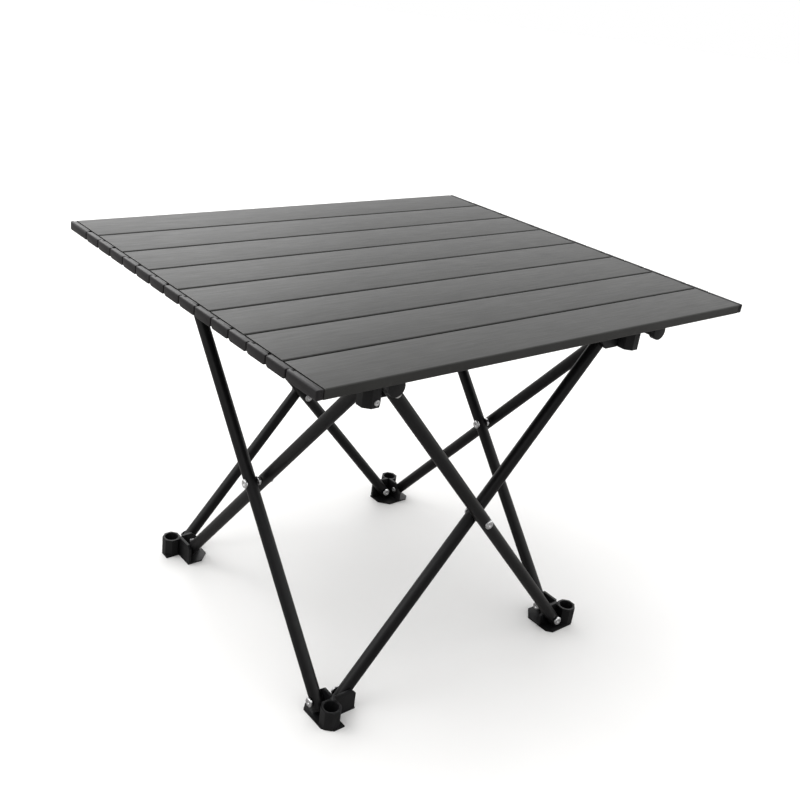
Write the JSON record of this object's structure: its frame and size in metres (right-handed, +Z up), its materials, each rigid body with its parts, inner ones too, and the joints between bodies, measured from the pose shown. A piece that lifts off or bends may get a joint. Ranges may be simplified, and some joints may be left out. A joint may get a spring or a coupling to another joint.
{
  "type": "folding side table",
  "caption": "Low camping side table with a roll-up slatted top on crossed tube legs that bunch together, with moulded feet and hubs and two top rails.",
  "frame": {"origin": "centre of the footprint on the floor", "axes": "+X along the slats, -Y towards the front edge, +Z up"},
  "size_m": [0.404, 0.3446, 0.306],
  "materials": {
    "slat_paint": "matte charcoal coat on extruded aluminium",
    "tube_paint": "satin black coat on aluminium tube",
    "black_plastic": "matte moulded black",
    "bright_metal": "bright rivet"
  },
  "bodies": {
    "foot_front_left": {"foot_front_left": "black_plastic"},
    "leg_front_inner": {"leg_front_inner": "tube_paint", "cross_rivet_front": "bright_metal"},
    "leg_front_outer": {"leg_front_outer": "tube_paint"},
    "foot_front_right": {"foot_front_right": "black_plastic"},
    "leg_right_inner": {"leg_right_inner": "tube_paint", "cross_rivet_right": "bright_metal"},
    "leg_right_outer": {"leg_right_outer": "tube_paint"},
    "foot_back_right": {"foot_back_right": "black_plastic"},
    "leg_back_inner": {"leg_back_inner": "tube_paint", "cross_rivet_back": "bright_metal"},
    "leg_back_outer": {"leg_back_outer": "tube_paint"},
    "foot_back_left": {"foot_back_left": "black_plastic"},
    "leg_left_inner": {"leg_left_inner": "tube_paint", "cross_rivet_left": "bright_metal"},
    "leg_left_outer": {"leg_left_outer": "tube_paint"},
    "hub_front_left": {"hub_front_left": "black_plastic"},
    "hub_front_right": {"hub_front_right": "black_plastic"},
    "hub_back_right": {"hub_back_right": "black_plastic", "rail_right": "tube_paint"},
    "hub_back_left": {"hub_back_left": "black_plastic", "rail_left": "tube_paint"},
    "slat_1": {"slat_1": "slat_paint", "cap_left_1": "black_plastic", "cap_right_1": "black_plastic"},
    "slat_2": {"slat_2": "slat_paint", "cap_left_2": "black_plastic", "cap_right_2": "black_plastic"},
    "slat_3": {"slat_3": "slat_paint", "cap_left_3": "black_plastic", "cap_right_3": "black_plastic"},
    "slat_4": {"slat_4": "slat_paint", "cap_left_4": "black_plastic", "cap_right_4": "black_plastic"},
    "slat_5": {"slat_5": "slat_paint", "cap_left_5": "black_plastic", "cap_right_5": "black_plastic"},
    "slat_6": {"slat_6": "slat_paint", "cap_left_6": "black_plastic", "cap_right_6": "black_plastic"},
    "slat_7": {"slat_7": "slat_paint", "cap_left_7": "black_plastic", "cap_right_7": "black_plastic"},
    "slat_8": {"slat_8": "slat_paint", "cap_left_8": "black_plastic", "cap_right_8": "black_plastic"},
    "link_1": {"link_left_1": "black_plastic", "link_right_1": "black_plastic"},
    "link_2": {"link_left_2": "black_plastic", "link_right_2": "black_plastic"},
    "link_3": {"link_left_3": "black_plastic", "link_right_3": "black_plastic"},
    "link_4": {"link_left_4": "black_plastic", "link_right_4": "black_plastic"},
    "link_5": {"link_left_5": "black_plastic", "link_right_5": "black_plastic"},
    "link_6": {"link_left_6": "black_plastic", "link_right_6": "black_plastic"},
    "link_7": {"link_left_7": "black_plastic", "link_right_7": "black_plastic"}
  },
  "joints": [
    {"name": "frame_fold", "type": "hinge", "parent": "foot_front_left", "child": "leg_front_inner", "pos_m": [-0.1108, -0.1162, 0.0101], "axis": [0, -1, 0], "range_deg": [0, 33]},
    {"name": "front_crossing", "type": "hinge", "parent": "leg_front_inner", "child": "leg_front_outer", "pos_m": [0, -0.1227, 0.14065], "axis": [0, 1, 0], "range_deg": [0, 66]},
    {"name": "front_right_foot_pivot", "type": "hinge", "parent": "leg_front_outer", "child": "foot_front_right", "pos_m": [0.1108, -0.1292, 0.0101], "axis": [0, -1, 0], "range_deg": [0, 33]},
    {"name": "right_leg_pivot", "type": "hinge", "parent": "foot_front_right", "child": "leg_right_inner", "pos_m": [0.1162, -0.1108, 0.0101], "axis": [1, 0, 0], "range_deg": [0, 33]},
    {"name": "right_crossing", "type": "hinge", "parent": "leg_right_inner", "child": "leg_right_outer", "pos_m": [0.1227, 0, 0.14065], "axis": [-1, 0, 0], "range_deg": [0, 66]},
    {"name": "back_right_foot_pivot", "type": "hinge", "parent": "leg_right_outer", "child": "foot_back_right", "pos_m": [0.1292, 0.1108, 0.0101], "axis": [1, 0, 0], "range_deg": [0, 33]},
    {"name": "back_leg_pivot", "type": "hinge", "parent": "foot_back_right", "child": "leg_back_inner", "pos_m": [0.1108, 0.1162, 0.0101], "axis": [0, 1, 0], "range_deg": [0, 33]},
    {"name": "back_crossing", "type": "hinge", "parent": "leg_back_inner", "child": "leg_back_outer", "pos_m": [0, 0.1227, 0.14065], "axis": [0, -1, 0], "range_deg": [0, 66]},
    {"name": "back_left_foot_pivot", "type": "hinge", "parent": "leg_back_outer", "child": "foot_back_left", "pos_m": [-0.1108, 0.1292, 0.0101], "axis": [0, 1, 0], "range_deg": [0, 33]},
    {"name": "left_leg_pivot", "type": "hinge", "parent": "foot_back_left", "child": "leg_left_inner", "pos_m": [-0.1162, 0.1108, 0.0101], "axis": [-1, 0, 0], "range_deg": [0, 33]},
    {"name": "left_crossing", "type": "hinge", "parent": "leg_left_inner", "child": "leg_left_outer", "pos_m": [-0.1227, 0, 0.14065], "axis": [1, 0, 0], "range_deg": [0, 66]},
    {"name": "front_left_hub_pivot", "type": "hinge", "parent": "leg_front_outer", "child": "hub_front_left", "pos_m": [-0.1108, -0.1292, 0.2712], "axis": [0, -1, 0], "range_deg": [0, 33]},
    {"name": "front_right_hub_pivot", "type": "hinge", "parent": "leg_front_inner", "child": "hub_front_right", "pos_m": [0.1108, -0.1162, 0.2712], "axis": [0, 1, 0], "range_deg": [0, 33]},
    {"name": "back_right_hub_pivot", "type": "hinge", "parent": "leg_right_inner", "child": "hub_back_right", "pos_m": [0.1162, 0.1108, 0.2712], "axis": [-1, 0, 0], "range_deg": [0, 33]},
    {"name": "back_left_hub_pivot", "type": "hinge", "parent": "leg_back_inner", "child": "hub_back_left", "pos_m": [-0.1108, 0.1162, 0.2712], "axis": [0, -1, 0], "range_deg": [0, 33]},
    {"name": "top_lift", "type": "slide", "parent": "hub_back_left", "child": "slat_4", "axis": [0, 0, 1], "range_m": [0, 0.5]},
    {"name": "link_3_turn", "type": "hinge", "parent": "slat_4", "child": "link_3", "pos_m": [0, -0.03247, 0.3025], "axis": [1, 0, 0], "range_deg": [0, 22.01]},
    {"name": "slat_3_turn", "type": "hinge", "parent": "link_3", "child": "slat_3", "pos_m": [0, -0.05412, 0.3025], "axis": [1, 0, 0], "range_deg": [0, 22.01]},
    {"name": "link_2_turn", "type": "hinge", "parent": "slat_3", "child": "link_2", "pos_m": [0, -0.07577, 0.3025], "axis": [1, 0, 0], "range_deg": [0, 22.01]},
    {"name": "slat_2_turn", "type": "hinge", "parent": "link_2", "child": "slat_2", "pos_m": [0, -0.09742, 0.3025], "axis": [1, 0, 0], "range_deg": [0, 22.01]},
    {"name": "link_1_turn", "type": "hinge", "parent": "slat_2", "child": "link_1", "pos_m": [0, -0.11908, 0.3025], "axis": [1, 0, 0], "range_deg": [0, 22.01]},
    {"name": "slat_1_turn", "type": "hinge", "parent": "link_1", "child": "slat_1", "pos_m": [0, -0.14072, 0.3025], "axis": [1, 0, 0], "range_deg": [0, 22.01]},
    {"name": "link_4_turn", "type": "hinge", "parent": "slat_4", "child": "link_4", "pos_m": [0, -0.01082, 0.3025], "axis": [-1, 0, 0], "range_deg": [0, 22.01]},
    {"name": "slat_5_turn", "type": "hinge", "parent": "link_4", "child": "slat_5", "pos_m": [0, 0.01082, 0.3025], "axis": [-1, 0, 0], "range_deg": [0, 22.01]},
    {"name": "link_5_turn", "type": "hinge", "parent": "slat_5", "child": "link_5", "pos_m": [0, 0.03247, 0.3025], "axis": [-1, 0, 0], "range_deg": [0, 22.01]},
    {"name": "slat_6_turn", "type": "hinge", "parent": "link_5", "child": "slat_6", "pos_m": [0, 0.05412, 0.3025], "axis": [-1, 0, 0], "range_deg": [0, 22.01]},
    {"name": "link_6_turn", "type": "hinge", "parent": "slat_6", "child": "link_6", "pos_m": [0, 0.07577, 0.3025], "axis": [-1, 0, 0], "range_deg": [0, 22.01]},
    {"name": "slat_7_turn", "type": "hinge", "parent": "link_6", "child": "slat_7", "pos_m": [0, 0.09742, 0.3025], "axis": [-1, 0, 0], "range_deg": [0, 22.01]},
    {"name": "link_7_turn", "type": "hinge", "parent": "slat_7", "child": "link_7", "pos_m": [0, 0.11908, 0.3025], "axis": [-1, 0, 0], "range_deg": [0, 22.01]},
    {"name": "slat_8_turn", "type": "hinge", "parent": "link_7", "child": "slat_8", "pos_m": [0, 0.14072, 0.3025], "axis": [-1, 0, 0], "range_deg": [0, 22.01]}
  ],
  "couplings": [
    {"joint": "front_crossing", "follows": "frame_fold", "ratio": 2},
    {"joint": "front_right_foot_pivot", "follows": "frame_fold", "ratio": 1},
    {"joint": "right_leg_pivot", "follows": "frame_fold", "ratio": 1},
    {"joint": "right_crossing", "follows": "frame_fold", "ratio": 2},
    {"joint": "back_right_foot_pivot", "follows": "frame_fold", "ratio": 1},
    {"joint": "back_leg_pivot", "follows": "frame_fold", "ratio": 1},
    {"joint": "back_crossing", "follows": "frame_fold", "ratio": 2},
    {"joint": "back_left_foot_pivot", "follows": "frame_fold", "ratio": 1},
    {"joint": "left_leg_pivot", "follows": "frame_fold", "ratio": 1},
    {"joint": "left_crossing", "follows": "frame_fold", "ratio": 2},
    {"joint": "front_left_hub_pivot", "follows": "frame_fold", "ratio": 1},
    {"joint": "front_right_hub_pivot", "follows": "frame_fold", "ratio": 1},
    {"joint": "back_right_hub_pivot", "follows": "frame_fold", "ratio": 1},
    {"joint": "back_left_hub_pivot", "follows": "frame_fold", "ratio": 1},
    {"joint": "link_3_turn", "follows": "top_lift", "rad_per_m": 0.76794},
    {"joint": "slat_3_turn", "follows": "top_lift", "rad_per_m": 0.76794},
    {"joint": "link_2_turn", "follows": "top_lift", "rad_per_m": 0.76794},
    {"joint": "slat_2_turn", "follows": "top_lift", "rad_per_m": 0.76794},
    {"joint": "link_1_turn", "follows": "top_lift", "rad_per_m": 0.76794},
    {"joint": "slat_1_turn", "follows": "top_lift", "rad_per_m": 0.76794},
    {"joint": "link_4_turn", "follows": "top_lift", "rad_per_m": 0.76794},
    {"joint": "slat_5_turn", "follows": "top_lift", "rad_per_m": 0.76794},
    {"joint": "link_5_turn", "follows": "top_lift", "rad_per_m": 0.76794},
    {"joint": "slat_6_turn", "follows": "top_lift", "rad_per_m": 0.76794},
    {"joint": "link_6_turn", "follows": "top_lift", "rad_per_m": 0.76794},
    {"joint": "slat_7_turn", "follows": "top_lift", "rad_per_m": 0.76794},
    {"joint": "link_7_turn", "follows": "top_lift", "rad_per_m": 0.76794},
    {"joint": "slat_8_turn", "follows": "top_lift", "rad_per_m": 0.76794}
  ]
}
